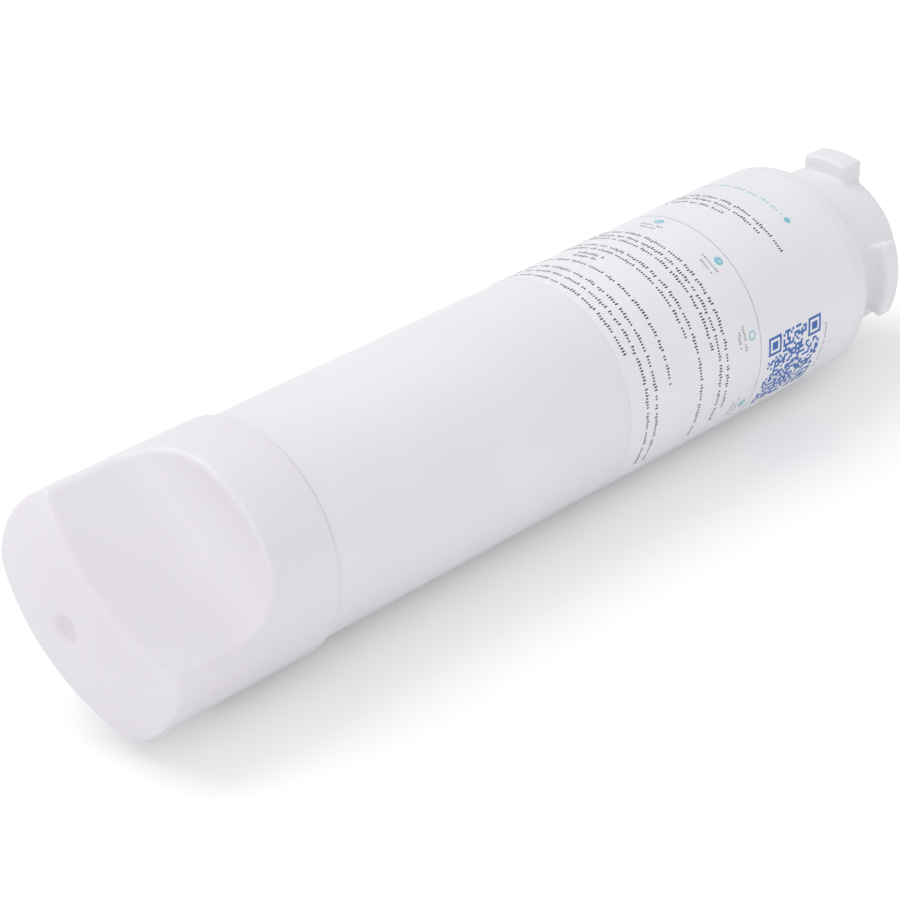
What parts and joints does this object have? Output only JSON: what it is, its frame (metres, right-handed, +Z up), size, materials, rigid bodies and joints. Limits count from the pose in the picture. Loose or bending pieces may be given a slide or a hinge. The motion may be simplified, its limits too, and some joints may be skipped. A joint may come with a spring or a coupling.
{
  "type": "water filter cartridge",
  "caption": "Twist-lock water filter cartridge: cylindrical body, lugged neck with a stepped O-ring spigot, and a domed cap with a grip bar.",
  "frame": {"origin": "on the cartridge's axis, in the plane of the neck's end face", "axes": "+X along the axis out of the spigot, +Z up through the upper key lug as the cartridge lies in the picture"},
  "size_m": [0.2632, 0.0544, 0.0544],
  "materials": {
    "white_moulding": "satin moulded polypropylene",
    "label_film": "satin printed film",
    "seal_rubber": "matt moulded",
    "pressed_carbon": "matt pressed carbon",
    "nonwoven": "soft nonwoven"
  },
  "bodies": {
    "root": {"housing": "white_moulding", "grip_cap": "white_moulding", "label": "label_film", "inlet_o_ring": "seal_rubber", "outlet_o_ring": "seal_rubber", "carbon_block": "pressed_carbon", "sediment_wrap": "nonwoven", "core_sleeve": "nonwoven", "outlet_end_cap": "white_moulding", "closed_end_cap": "white_moulding", "stem_o_ring": "seal_rubber"}
  },
  "joints": []
}
